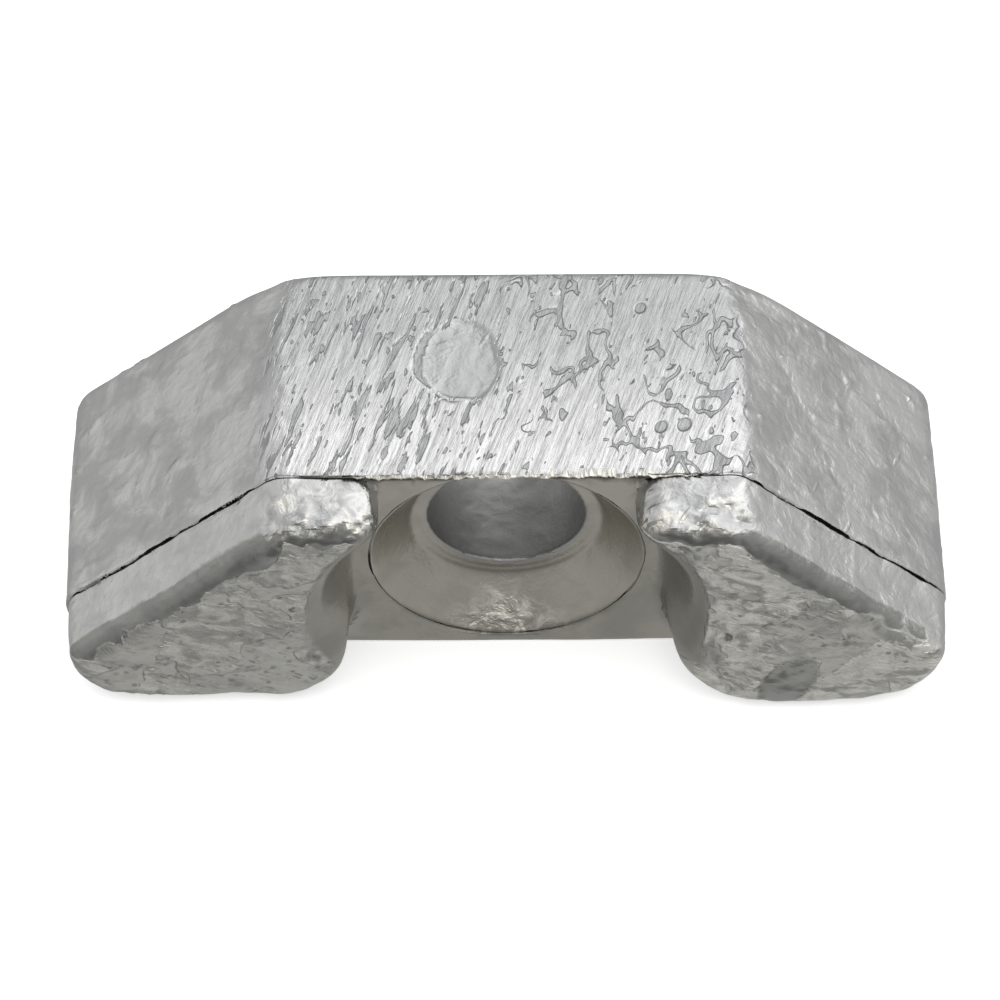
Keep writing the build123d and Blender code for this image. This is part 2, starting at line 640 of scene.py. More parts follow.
    def flat_top(self) -> Socket:
        """Works out the flat top's colour.

        Returns:
            The colour.
        """
        n, metal = self.n, self.metal
        streak = n.span(self.streak, 0.32, 0.56, 0.8, 0.0)
        top = n.mix(streak, metal.dragged, metal.skin)
        # Painted shade: the flat top is darkened toward the seat face, in the pin mark's colour.
        top = n.mix(n.times(n.less(self.at.fore), 0.95), top, metal.pin)
        # Painted highlight on the rims round the slots.
        top = n.mix(n.times(self.lip, 0.45), top, metal.rim_highlight)
        # Painted shade at the bottom of the slots, the pits and the crescent beside the pin mark.
        slot_shade = n.times(n.span(self.sunk, 0.35, 0.75), n.span(self.blotch, 0.35, 0.6, 0.7, 1.0))
        return n.mix(slot_shade, top, metal.slot)

    def pad_front(self) -> Socket:
        """Works out the colour of the pads' rough fronts.

        Returns:
            The colour.
        """
        n, metal, right = self.n, self.metal, self.at.right
        mottle = n.total(self.mottle, n.times(right, -0.045))
        face = n.mix(n.span(mottle, 0.45, 0.56), metal.front, metal.patch)
        face = n.mix(n.span(self.blotch, 0.50, 0.66, 0.0, 0.3), face, metal.brow)
        face = n.mix(self.even, face, metal.patch)
        face = n.mix(n.times(n.less(right), 0.40), face, metal.patch)
        face = n.mix(n.times(self.at.stain, 0.66), face, metal.brow)
        # Painted glints on the burrs, which the relief also raises.
        face = n.mix(n.times(self.burr_and_glint, self.torn, 0.6), face, metal.cream)
        # Painted shade in the pits and gouges.
        cuts = n.calc("MAXIMUM", n.times(self.pit, 0.75), n.times(self.gouge, 0.8))
        face = n.mix(cuts, face, metal.brow)
        # Painted shade in the strip under the fronts' upper edges.
        shade = n.times(self.shade, n.span(self.mottle, 0.40, 0.60, 1.0, 0.82))
        return n.mix(shade, face, metal.brow)

    def calm_skin(self) -> Socket:
        """Works out the colour of the web, the countersink and the scoops.

        Returns:
            The colour.
        """
        n, at, metal = self.n, self.at, self.metal
        # Warmer countersink, and painted light on the web's upper corners.
        warmth = n.total(n.times(at.sink, 0.75), n.span(self.cloud, 0.40, 0.60, 0.0, 0.35))
        calm = n.mix(warmth, metal.smooth, metal.warm)
        # Painted glints at the countersink's foot.
        return n.mix(n.times(at.splash, n.span(self.blotch, 0.45, 0.6)), calm, metal.cream)

    def colour(self) -> Socket:
        """Works out the colour of the whole casting.

        Returns:
            The colour.
        """
        n, at, metal = self.n, self.at, self.metal
        colour = n.mix(n.span(self.cloud, 0.40, 0.60), metal.skin, metal.pale)
        colour = n.mix(n.times(n.span(self.cloud, 0.52, 0.58), 0.5), colour, metal.pale)
        colour = n.mix(at.pin, colour, metal.pin)
        colour = n.mix(at.drag, colour, self.flat_top())
        band = n.times(at.band, n.span(self.blotch, 0.3, 0.6, 0.3, 0.8))
        colour = n.mix(band, colour, metal.pale)
        # Painted shade: the right pad's outer side is darkened.
        colour = n.mix(n.times(at.band, at.right, 0.35), colour, metal.skin)
        tip = n.mix(n.span(self.blotch, 0.38, 0.62), metal.pin, metal.pale)
        colour = n.mix(at.tip, colour, tip)
        colour = n.mix(n.calc("MAXIMUM", at.front, self.shade), colour, self.pad_front())
        glint = n.times(at.glint, n.span(self.blotch, 0.50, 0.58))
        colour = n.mix(glint, colour, metal.cream)
        colour = n.mix(at.plain, colour, self.calm_skin())
        colour = n.mix(at.bore, colour, metal.hollow)
        # Painted highlight: the flash is coloured as a bright glint.
        colour = n.mix(at.fin, colour, metal.cream)
        # Painted shadow of the flash on the web.
        under = n.times(at.under, n.span(self.blotch, 0.35, 0.55, 0.5, 1.0))
        # Painted shade in the parting line and round the countersink's rim, with the painted
        # shadow beneath the flash.
        dark = n.times(n.calc("MAXIMUM", self.split, under), n.less(at.fin))
        return n.mix(dark, colour, metal.crack_shade)

    def roughness(self) -> Socket:
        """Works out how matt the metal is.

        Returns:
            The roughness.
        """
        n = self.n
        return n.total(
            n.span(self.cloud, 0.3, 0.7, 0.33, 0.24), n.times(self.sunk, 0.06),
            n.times(self.torn, 0.08), n.times(self.at.bore, 0.2),
        )

    def bump(self) -> Socket:
        """Works out the fine relief.

        Returns:
            The turned normal.
        """
        n, at = self.n, self.at
        fold = n.noise((1.6, 1.3, 1.6), 30, 3.0, 0.55, 1.2)
        fold = n.times(fold, n.less(at.drag), self.rolling)
        scratch = n.dashes((0.5, 2.6, 2.6), -30, 25, 0.16)
        stroke = n.noise((2.0, 2.0, 1.0), 0, 5.0, 0.62, 1.6, 18)
        height = n.total(
            n.times(self.sunk, -3.0),
            n.times(self.lip, 0.6),
            n.times(self.streak, at.drag, 2.6),
            n.times(fold, n.span(self.cloud, 0.45, 0.6, 0.8, 2.6)),
            n.times(scratch, n.less(at.drag), self.wild, n.less(at.front), 1.2),
            n.times(stroke, self.torn, 7.0),
            n.times(self.gouge, self.torn, -2.8),
            n.times(self.burr_and_glint, self.torn, 2.8),
            n.times(self.pit, self.torn, -1.6),
            n.times(self.blotch, n.calc("MAXIMUM", self.rolling, self.torn), 2.2),
            n.times(self.blotch, n.less(self.wild), 0.8),
            n.times(self.shade, n.less(n.times(at.brow, 0.3)), -1.2),
            n.times(self.blotch, at.splash, 6.0),
            n.times(n.noise((0.16, 0.16, 0.16), 0, 2.0, 0.6), 0.20),
            n.times(self.split, -3.0),
        )
        return n.add(
            "ShaderNodeBump", "Normal", in_Strength=1.0, in_Height=height,
            in_Distance=self.metal.relief * MM,
        )


# ---- The casting ----


@dataclass(frozen=True)
class Swell:
    """A place where the casting is fuller or leaner than its drawing.

    Args:
        centre: its middle.
        reach: how far it spreads along X, Y and Z.
        shift: how far the metal moves at the middle.
    """

    centre: Vec3
    reach: Vec3
    shift: Vec3

    def push(self, places: Field) -> Field:
        """Moves points.

        Args:
            places: one row per point, in millimetres.

        Returns:
            Their new places.
        """
        share = np.exp(-(((places - self.centre) / self.reach) ** 2).sum(axis=1))
        return places + share[:, None] * np.array(self.shift)


SWELLS = (
    Swell((-8.0, -17.3, 6.3), (2.2, 2.8, 2.6), (0.95, 0.0, 0.0)),
    Swell((8.0, -17.3, 6.3), (2.2, 2.8, 2.6), (-0.95, 0.0, 0.0)),
    Swell((-25.2, -17.5, -2.0), (3.0, 3.2, 7.0), (-0.18, 0.0, 0.0)),
    Swell((25.2, -17.5, -2.0), (3.0, 3.2, 7.0), (0.18, 0.0, 0.0)),
    Swell((-17.0, -19.4, -8.0), (9.0, 4.0, 5.0), (0.0, 0.28, 0.0)),
    Swell((-25.2, -19.0, -8.6), (3.0, 7.0, 3.0), (0.65, 0.05, 0.65)),
    Swell((-9.4, -18.5, -8.6), (2.6, 3.0, 2.6), (-0.20, 0.08, 0.16)),
    Swell((17.0, -19.4, -7.0), (5.0, 4.0, 5.0), (0.0, -0.38, 0.0)),
    Swell((17.0, -19.0, -8.6), (5.0, 2.5, 1.5), (0.0, -0.15, -0.06)),
    Swell((25.2, -19.0, -8.6), (3.0, 7.0, 3.0), (-0.62, 0.20, 0.62)),
    Swell((9.6, -18.5, -8.0), (3.0, 3.0, 4.0), (0.70, 0.10, 0.20)),
    Swell((-25.2, -6.0, -2.0), (4.0, 8.0, 5.0), (-0.30, 0.0, 0.0)),
    Swell((25.3, -1.0, -3.0), (3.0, 4.0, 4.0), (-0.14, 0.0, 0.0)),
    Swell((-14.4, -0.3, 7.0), (2.6, 2.0, 1.6), (0.30, -0.10, -0.16)),
    Swell((14.4, -0.3, 7.0), (2.6, 2.0, 1.6), (-0.30, -0.10, -0.16)),
    Swell((-13.2, 0.0, 7.9), (1.8, 4.0, 1.5), (0.0, 0.0, -0.28)),
    Swell((13.2, 0.0, 7.9), (1.8, 4.0, 1.5), (0.0, 0.0, -0.28)),
)


@dataclass
class Casting:
    """The whole casting, in the row frame.

    Args:
        top: height of the flat top at the parting plane.
        rest: height of the rest face.
        rim_radius: radius of the countersink at the web.
        bore_radius: radius within which the skin is the bore's.
        flat_half: half the flat top's width.
        shoulder_angle: degrees from the flat top to the shoulders.
        draft: degrees by which the top falls off toward the seat face.
        tip_x: where the pads' tips start, from the middle.
        voxel: size of the skin's facets.
        gap: how far off the parting plane each half is cut, clear of the faces in that plane.
        root: how far the pads are carried on into the block.
        drawn_pin: middle and reach of the CAD model's pin mark, which is filled.
        pin_x: sideways place of the mark that is pressed instead.
        pin_y: its place along the depth.
        pin_wide: half its width.
        pin_tall: half its length.
        pin_depth: its depth.
        trench_depth: depth of the crescent beside it.
        stain_x: sideways place of the smooth oval patch on the right pad.
        stain_z: its height.
        stain_long: half its length.
        stain_wide: half its width.
        stain_lean: degrees by which it leans.
        flash_from: left end of the flash.
        flash_to: its right end.
        flash_reach: how far it stands out at most.
        flash_thick: its thickness.
        most_triangles: count that the skin is thinned to.
    """

    top: float = 7.9
    rest: float = -8.7
    rim_radius: float = 7.85
    bore_radius: float = 4.65
    flat_half: float = 13.0
    shoulder_angle: float = 45.0
    draft: float = 1.8
    tip_x: float = 7.65
    voxel: float = 0.17
    gap: float = 0.002
    root: float = 0.6
    drawn_pin: Vec3 = (-3.1, -6.6, 3.2)
    pin_x: float = -2.5
    pin_y: float = -6.7
    pin_wide: float = 2.15
    pin_tall: float = 2.75
    pin_depth: float = 0.11
    trench_depth: float = 0.07
    stain_x: float = 16.1
    stain_z: float = -6.1
    stain_long: float = 2.5
    stain_wide: float = 1.35
    stain_lean: float = 60.0
    flash_from: float = -9.3
    flash_to: float = 11.0
    flash_reach: float = 0.24
    flash_thick: float = 0.09
    most_triangles: int = 190_000

    def half(self, name: str, block: bool) -> bpy.types.Object:
        """Cuts one mould half off a copy of the CAD node and gives it an even skin.

        Args:
            name: the piece's name.
            block: whether it is the block; otherwise it is the two pads.

        Returns:
            A closed mesh of even facets.
        """
        piece = bpy.data.objects.new(name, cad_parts[NODE].data.copy())
        bpy.context.collection.objects.link(piece)
        only(piece)
        bpy.ops.object.mode_set(mode="EDIT")
        bpy.ops.mesh.select_all(action="SELECT")
        bpy.ops.mesh.remove_doubles(threshold=WELD)
        cut = self.gap - WEB if block else -self.gap - WEB
        bpy.ops.mesh.bisect(
            plane_co=(0, cut * MM, 0), plane_no=(0, 1, 0), use_fill=True,
            clear_inner=block, clear_outer=not block, threshold=WELD,
        )
        if not block:
            bpy.ops.mesh.select_all(action="DESELECT")
            bpy.ops.mesh.select_mode(type="FACE")
            bpy.ops.object.mode_set(mode="OBJECT")
            for face in piece.data.polygons:
                face.select = abs(face.center.y - cut * MM) < 1e-6 and face.normal.y > 0.99
            bpy.ops.object.mode_set(mode="EDIT")
            bpy.ops.mesh.extrude_region_move(
                TRANSFORM_OT_translate={"value": (0, self.root * MM, 0)}
            )
        bpy.ops.mesh.select_all(action="SELECT")
        bpy.ops.mesh.normals_make_consistent(inside=False)
        bpy.ops.object.mode_set(mode="OBJECT")
        skin = piece.modifiers.new("even", "REMESH")
        skin.mode = "VOXEL"
        skin.voxel_size = self.voxel * MM
        skin.adaptivity = 0.0
        bpy.ops.object.modifier_apply(modifier=skin.name)
        relax = piece.modifiers.new("relax", "SMOOTH")
        relax.factor, relax.iterations = 0.5, 3
        bpy.ops.object.modifier_apply(modifier=relax.name)
        return piece

    def relax(self, piece: bpy.types.Object, zone: Field, passes: int) -> None:
        """Rounds a piece's edges where a zone says so.

        Args:
            piece: a mesh object at the origin.
            zone: how strongly each point takes part, 0 to 1.
            passes: how often it is smoothed.
        """
        weigh(piece, "relax", zone)
        only(piece)
        relax = piece.modifiers.new("relax", "SMOOTH")
        relax.factor, relax.iterations, relax.vertex_group = 0.5, passes, "relax"
        bpy.ops.object.modifier_apply(modifier=relax.name)
        piece.vertex_groups.remove(piece.vertex_groups["relax"])

    def top_at(self, y: Field) -> Field:
        """Works out the flat top's height, which falls off toward the seat face by the draft.

        Args:
            y: places along the depth.

        Returns:
            Heights.
        """
        return self.top - (WEB + y) * math.tan(math.radians(self.draft))

    def pin_distance(self, x: Field, y: Field) -> tuple[Field, Field]:
        """Measures from the middle of the ejector pin's mark, which is not quite round.

        Args:
            x: places along the width.
            y: places along the depth.

        Returns:
            Distances, 1 on the mark's edge, and angles in radians.
        """
        wide, tall = (x - self.pin_x) / self.pin_wide, (y - self.pin_y) / self.pin_tall
        turn = np.arctan2(tall, wide)
        wobble = 1.0 + 0.045 * np.sin(3 * turn + 1.0) + 0.025 * np.sin(7 * turn)
        return np.hypot(wide, tall) * wobble, turn

    def trench(self, x: Field, y: Field) -> Field:
        """Works out the crescent that the pin's shoulder pressed beside its mark.

        Args:
            x: places along the width.
            y: places along the depth.

        Returns:
            How deep each point is in it, 0 to 1.
        """
        off, turn = self.pin_distance(x, y)
        left = np.clip(np.cos(turn - math.radians(170)), 0, 1) ** 2
        low = np.clip(np.cos(turn + math.radians(115)), 0, 1) ** 6
        crescent = ease(off, 1.00, 1.04) * ease(off, 1.05 + 0.26 * left, 1.00 + 0.24 * left) * left
        groove = np.exp(-(((off - 1.13) / 0.035) ** 2)) * low
        return np.clip(crescent + groove, 0, 1)

    def shape_block(self) -> bpy.types.Object:
        """Makes the block with its drag marks, wrinkles and pits.

        Returns:
            The block half.
        """
        block = self.half("anode_block", block=True)
        at, _ = points_of(block)
        x, y, z = at.T
        pin_x, pin_y, reach = self.drawn_pin
        level = self.top_at(y)
        on_top = z > level - 0.3
        flat = (np.hypot(x - pin_x, y - pin_y) < reach) & on_top
        at[flat, 2] = level[flat]
        off, _ = self.pin_distance(x, y)
        dent = self.pin_depth * ease(off, 1.06, 0.97) + self.trench_depth * self.trench(x, y)
        at[:, 2] -= on_top * dent
        for swell in SWELLS:
            at = swell.push(at)
        move_points(block, at)
        ridge = np.exp(-(((np.abs(at[:, 0]) - self.flat_half) / 0.9) ** 2)) * (at[:, 2] > 5.0)
        self.relax(block, ridge, 30)
        mouth = np.exp(-(((np.hypot(at[:, 0], at[:, 2]) - self.bore_radius) / 0.5) ** 2))
        self.relax(block, mouth * (at[:, 1] > -0.8), 25)
        at, normal = points_of(block)
        x, y, z = at.T
        outside = np.hypot(x, z) > self.rim_radius + 0.3
        top = ease(normal[:, 2], 0.8, 0.97) * ease(z, self.top - 1.6, self.top - 0.9)
        right = top * ease(x, -3.5, 2.5)
        flank = ease(np.abs(normal[:, 0]), 0.3, 0.6) * ease(normal[:, 2], -0.1, 0.3) * outside
        web = ease(-normal[:, 1], 0.7, 0.95) * outside
        ridge = np.exp(-(((np.abs(x) - self.flat_half + 0.3) / 0.6) ** 2)) * (z > 6.8) * (1 - web)
        every = np.where(outside | (normal[:, 2] > 0.8), 1.0, 0.25)
        calm = 1.0 - ease(normal[:, 1], 0.5, 0.9) - ease(-normal[:, 2], 0.5, 0.9)
        calm = np.clip(calm, 0.15, 1.0) * every
        for relief, zone in (
            (Relief("sag", Grain.CLOUD, (5, 5, 5), 0.10), calm),
            (Relief("skin", Grain.CLOUD, (1.3, 1.3, 1.3), 0.09, depth=3), calm * (1 - web)),
            (Relief("drag", Grain.CLOUD, (0.7, 3.2, 3.2), 0.12, turn=-17, depth=2), top),
            (Relief("worm", Grain.WORM, (1.5, 1.9, 1.5), 0.05, ramp=(0.45, 0.62)), right),
            (Relief("cold", Grain.WORM, (2.6, 1.5, 1.9), 0.09, ramp=(0.35, 0.65)), flank),
            (Relief("ridge", Grain.CLOUD, (0.8, 1.0, 0.8), 0.20), ridge),
        ):
            relief.press(block, zone)
        return block

    def below_edge(self, x: Field, z: Field) -> Field:
        """Measures how far points of the pads' fronts lie below their upper edges.

        Args:
            x: places along the width.
            z: heights.

        Returns:
            Distances from the nearer of the flat top's plane and the shoulder's.
        """
        slope = math.radians(self.shoulder_angle)
        side = (self.flat_half - np.abs(x)) * math.cos(slope) + (self.top - z) * math.sin(slope)
        return np.minimum(self.top - z, side)

    def stain_distance(self, x: Field, z: Field) -> Field:
        """Measures from the middle of the smooth oval patch on the right pad's front.

        Args:
            x: places along the width.
            z: heights.

        Returns:
            Distances, 1 on the patch's edge.
        """
        right, up = x - self.stain_x, z - self.stain_z
        lean = math.radians(self.stain_lean)
        long = right * math.cos(lean) + up * math.sin(lean)
        wide = up * math.cos(lean) - right * math.sin(lean)
        return np.hypot(long / self.stain_long, wide / self.stain_wide)

    def shape_pads(self) -> bpy.types.Object:
        """Makes the two pads with their rougher fronts.

        Returns:
            The pad half, both pads in one mesh.
        """
        pads = self.half("anode_pads", block=False)
        at, _ = points_of(pads)
        for swell in SWELLS:
            at = swell.push(at)
        move_points(pads, at)
        x, y, z = at.T
        tip = ease(np.abs(x), 16.0, 13.5) * ease(z, 3.5, 5.0) * ease(y, -15.2, -16.6)
        self.relax(pads, tip, 200)
        ridge = np.exp(-(((np.abs(x) - self.flat_half) / 1.2) ** 2)) * ease(z, 4.0, 5.5)
        self.relax(pads, ridge * ease(y, -WEB, -WEB - 0.5), 50)
        heel = ease(z, -2.5, -5.0) * ease(np.hypot(x, z), 15.0, 13.0) * ease(y, -15.6, -17.0)
        self.relax(pads, heel, 70)
        at, normal = points_of(pads)
        x, y, z = at.T
        inward = x * normal[:, 0] + z * normal[:, 2] < 0
        scoop = ease(np.hypot(normal[:, 0], normal[:, 2]) * inward, 0.25, 0.6)
        scoop *= ease(np.hypot(x, z), 14.0, 12.5)
        rough = (1.0 - 0.85 * scoop) * ease(y, -WEB + self.root - 0.1, -WEB)
        front = ease(-normal[:, 1], 0.6, 0.9) * (1 - scoop) * (y < -WEB - 1.0)
        front *= ease(self.below_edge(x, z), 1.0, 2.2)
        tip = ease(np.abs(x), 15.0, 12.5) * ease(z, 4.5, 6.0) * rough
        tip *= ease(y, -WEB - 0.8, -WEB - 2.2)
        pits = Relief("pad_pit", Grain.CELL, (1.9, 1.9, 1.6), 0.14, ramp=(0.10, 0.2), level=1.0)
        for relief, zone in (
            (Relief("pad_sag", Grain.CLOUD, (3.2, 3.2, 3.2), 0.26), rough),
            (Relief("pad_skin", Grain.CLOUD, (1.4, 1.4, 1.4), 0.12, depth=3), rough),
            (Relief("tip", Grain.CLOUD, (1.1, 1.1, 1.1), 0.50, depth=2), tip),
            (Relief("pad_stroke", Grain.WORM, (1.7, 1.7, 0.8), 0.14, ramp=(0.3, 0.7)), front),
            (pits, front),
        ):
            relief.press(pads, zone)
        return pads

    def flash(self) -> bpy.types.Object:
        """Makes the torn edge of metal that squeezed out between the mould halves.

        Returns:
            A thin ragged strip along the front edge of the flat top.
        """
        bpy.ops.object.select_all(action="DESELECT")
        bpy.ops.mesh.primitive_grid_add(x_subdivisions=170, y_subdivisions=2, size=1.0)
        flash = bpy.context.active_object
        flash.name = "flash"
        at, _ = points_of(flash)
        along, out = at[:, 0] * MM, at[:, 1] * MM
        x = self.flash_from + (along + 0.5) * (self.flash_to - self.flash_from)
        rng = np.random.default_rng(11)
        knots = np.linspace(self.flash_from - 1, self.flash_to + 1, 60)
        broad = np.interp(x, knots, rng.uniform(0.0, 1.0, knots.size))
        knots = np.linspace(self.flash_from - 1, self.flash_to + 1, 190)
        fine = np.interp(x, knots, rng.uniform(0.0, 1.0, knots.size))
        sag = np.interp(x, knots, rng.normal(0.0, 0.05, knots.size))
        reach = 0.04 + self.flash_reach * (0.65 * broad**2 + 0.35 * fine)
        left, right = self.flash_from, self.flash_to
        reach *= np.interp(x, (left, left + 1.5, right - 1.5, right), (0.1, 1, 1, 0.1))
        tip = out < 0
        y = np.where(tip, -WEB - reach, -WEB + 0.45)
        z = self.top - 0.07 + np.where(tip, sag - 0.10 * broad, 0.0)
        move_points(flash, np.column_stack((x, y, z)))
        only(flash)
        sheet = flash.modifiers.new("sheet", "SOLIDIFY")
        sheet.thickness, sheet.offset = self.flash_thick * MM, 0.0
        bpy.ops.object.modifier_apply(modifier=sheet.name)
        return flash

    def trim(self, piece: bpy.types.Object) -> None:
        """Deletes stray facets, which hang on a closed skin by one edge.

        Args:
            piece: the mesh, selected alone.
        """
        before = len(piece.data.polygons)
        bpy.ops.object.mode_set(mode="EDIT")
        bpy.ops.mesh.select_mode(type="EDGE")
        bpy.ops.mesh.select_all(action="DESELECT")
        bpy.ops.mesh.select_non_manifold(
            extend=False, use_wire=False, use_boundary=True, use_multi_face=False,
            use_non_contiguous=False, use_verts=False,
        )
        bpy.ops.mesh.delete(type="EDGE")
        bpy.ops.mesh.select_all(action="SELECT")
        bpy.ops.mesh.delete_loose()
        bpy.ops.object.mode_set(mode="OBJECT")
        log.info("trimmed %d stray facets", before - len(piece.data.polygons))

    def join(self, block: bpy.types.Object, *others: bpy.types.Object) -> bpy.types.Object:
        """Makes the parts one closed casting with no more facets than it needs.

        Args:
            block: the block half, which is kept.
            others: closed meshes that are used up.

        Returns:
            The casting.
        """
        only(block)
        for other in others:
            cast = block.modifiers.new("cast", "BOOLEAN")
            cast.operation, cast.solver, cast.object = "UNION", "MANIFOLD", other
            bpy.ops.object.modifier_apply(modifier=cast.name)
            bpy.data.objects.remove(other)
        triangles = sum(len(face.vertices) - 2 for face in block.data.polygons)
        if triangles > self.most_triangles:
            thin = block.modifiers.new("thin", "DECIMATE")
            thin.ratio = self.most_triangles / triangles
            bpy.ops.object.modifier_apply(modifier=thin.name)
            self.trim(block)
        at, _ = points_of(block)
        x, y, z = at.T
        radius = np.hypot(x, z)
        root = ease(np.abs(y + WEB), 1.6, 0.5) * ease(radius, self.rim_radius + 0.5, 9.3)
        root *= (np.abs(x) < 11.8) * ease(z, 6.0, 4.5) * ease(z, -8.3, -7.3)
        self.relax(block, root, 60)
        block.name = "anode_casting_skin"
        log.info("joined %d triangles, kept %d", triangles, len(block.data.polygons))
        return block

    def mark_zones(self, piece: bpy.types.Object) -> None:
        """Writes the point attributes that the finish reads as Zones.

        Args:
            piece: the casting.
        """
        at, normal = points_of(piece)
        zones = self.block_zones(at, normal) | self.pad_zones(at, normal)
        for zone in fields(Zones):
            layer = piece.data.attributes.new(zone.name, "FLOAT", "POINT")
            layer.data.foreach_set("value", zones[zone.name].astype(np.float32))

    def scoops(self, at: Field, normal: Field) -> tuple[Field, Field]:
        """Works out where the pads' scoops are.

        Args:
            at: places, one row per point.
            normal: unit normals.

        Returns:
            The smooth scoops, and their rough feet, 0 to 1.
        """
        x, y, z = at.T
        radius = np.hypot(x, z)
        inward = -(x * normal[:, 0] + z * normal[:, 2]) / np.maximum(radius, 1e-6)
        scoop = ease(inward, 0.15, 0.4) * (radius < 13.5) * (z < self.top - 1.5)
        foot = scoop * ease(z, -3.8, -6.4) * (y < -WEB - 0.3)
        return scoop - foot, foot

    def block_zones(self, at: Field, normal: Field) -> dict[str, Field]:
        """Works out the zones of the flat top, the parting line, the web and the bolt hole.

        Args:
            at: places, one row per point.
            normal: unit normals.

        Returns:
            Each zone's value at each point, by the zone's name.
        """
        x, y, z = at.T
        side, radius, forward = np.abs(x), np.hypot(x, z), -normal[:, 1]
        near_parting = np.abs(y + WEB) < 0.4
        surface = z > self.top_at(y) - 0.6
        pin = ease(self.pin_distance(x, y)[0], 1.04, 0.98) * surface
        flat_top = ease(z, self.top - 1.2, self.top - 0.6) * ease(normal[:, 2], 0.3, 0.6)
        parting = (np.abs(y + WEB) < 0.8) & (z > self.rest + 1.5) & (forward < 0.8)
        parting &= (side > self.tip_x + 0.3) & ((z > self.top - 1.2) | (side > self.flat_half))
        gape = 0.05 + 0.95 * ease(side, self.flat_half - 0.5, self.flat_half + 1.5)
        web = near_parting & (forward > 0.7) & (radius < 14)
        hole = (radius < self.rim_radius + 0.2) & ((z < self.top - 1.0) | (normal[:, 2] < 0.2))
        hole &= (y < -0.5) & (forward > -0.5)
        sink = ease(radius, self.rim_radius + 0.1, self.rim_radius - 0.1) * (z < 7.0)
        fin = (y < -WEB - 0.03) & (z > self.top - 0.5) & (side < self.flash_to)
        return {
            "drag": flat_top * (y > -WEB + 0.05) * (1 - pin),
            "right": ease(x, -2.5, 3.0),
            "fore": ease(y, -3.0, -WEB),
            "pin": pin,
            "trench": self.trench(x, y) * surface,
            "plain": np.clip(self.scoops(at, normal)[0] + web + hole, 0, 1),
            # The web's upper part takes the warm colour as painted light.
            "sink": np.maximum(sink, web * ease(z, 1.5, 6.0)),
            # Where painted glints lie at the countersink's foot.
            "splash": np.exp(-((x / 2.4) ** 2 + ((z + 7.4) / 0.9) ** 2)) * (y < -12) * hole,
            "bore": ease(radius, self.bore_radius + 0.1, self.bore_radius) * (y < -0.4),
            # Painted shade along the parting line and round the countersink's rim.
            "crack": parting * gape,
            "rim": near_parting & (z < 6.0) & (np.abs(radius - self.rim_radius) < 0.7),
            # Painted shadow beneath the flash.
            "under": np.exp(-(((z - self.top + 0.36) / 0.15) ** 2)) * web * (side < 8.4),
            "fin": fin & ((side < self.tip_x) | (z > self.top - 0.14)),
        }

    def pad_zones(self, at: Field, normal: Field) -> dict[str, Field]:
        """Works out the zones of the two pads.

        Args:
            at: places, one row per point.
            normal: unit normals.

        Returns:
            Each zone's value at each point, by the zone's name.
        """
        x, y, z = at.T
        side, forward = np.abs(x), -normal[:, 1]
        scoop, foot = self.scoops(at, normal)
        outer = (y < -WEB - 0.1) * (1 - scoop)
        front = ease(forward, 0.12, 0.75) * (y < -WEB - 0.8) * (1 - scoop)
        shoulder = ease(y, -17.6, -18.2) * ease(side, 13.5, 16.0)
        lower_edge = np.exp(-(((forward - 0.42) / 0.22) ** 2)) * (z > 4.5)
        return {
            "front": np.maximum(foot, front),
            "brow": self.below_edge(x, z) + 0.12 * np.maximum(side - self.flat_half - 0.5, 0.0),
            "strip": ease(forward + 0.4 * shoulder, 0.22, 0.42) * outer,
            "stain": ease(self.stain_distance(x, z), 1.08, 0.94) * (y < -WEB - 0.1),
            "band": ease(forward, 0.6, 0.3) * outer * ease(normal[:, 2], -0.2, 0.2),
            "tip": ease(normal[:, 2], 0.70, 0.95) * outer * (z > 0.0),
            "glint": lower_edge * outer * ease(side, 14.5, 13.0),
        }

    def build(self, finish: CastMetal) -> bpy.types.Object:
        """Builds and dresses the casting.

        Args:
            finish: the metal.

        Returns:
            The finished piece.
        """
        piece = self.join(self.shape_block(), self.shape_pads(), self.flash())
        self.mark_zones(piece)
        piece.data.materials.clear()
        piece.data.materials.append(finish.make())
        only(piece)
        bpy.ops.object.shade_smooth_by_angle(angle=math.radians(50))
        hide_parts(NODE)
        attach(piece, "root")
        log.info("%s: %d faces", piece.name, len(piece.data.polygons))
        return piece


# ---- Studio ----


@dataclass(frozen=True)
class Glow:
    """A soft patch of the room that is brighter or darker than the rest.

    Args:
        direction: where it is seen.
        width: degrees from its middle to its edge.
        power: how much it adds to the room's light.
        core: share of the width over which it is even.
    """

    direction: Vec3
    width: float
    power: float
    core: float = 0.35

    def share(self, n: Nodes) -> Socket:
        """Works out what it adds.

        Args:
            n: the room's nodes.

        Returns:
            The light added in each direction.
        """
        dot = n.add("ShaderNodeVectorMath", "Value", operation="DOT_PRODUCT", in_Vector=n.place)
        dot.node.inputs[1].default_value = Vector(self.direction).normalized()
        edges = (math.cos(math.radians(self.width * share)) for share in (1.0, self.core))
        return n.span(dot, *edges, 0.0, self.power)


ROOM = (
    Glow((0.45, 0.50, 0.74), 48, 0.80, 0.05),
    Glow((0, -1, 0.12), 60, -0.30, 0.1),
    Glow((0.15, -0.35, 0.93), 14, 1.8),
    Glow((-0.9, 0.3, 0.15), 44, 0.13, 0.05),
    Glow((0.9, 0.3, 0.15), 44, 0.11, 0.05),
    Glow((0, -0.58, -0.82), 40, 0.04, 0.05),
    Glow((-0.57, 0.0, -0.82), 40, -0.16, 0.05),
)


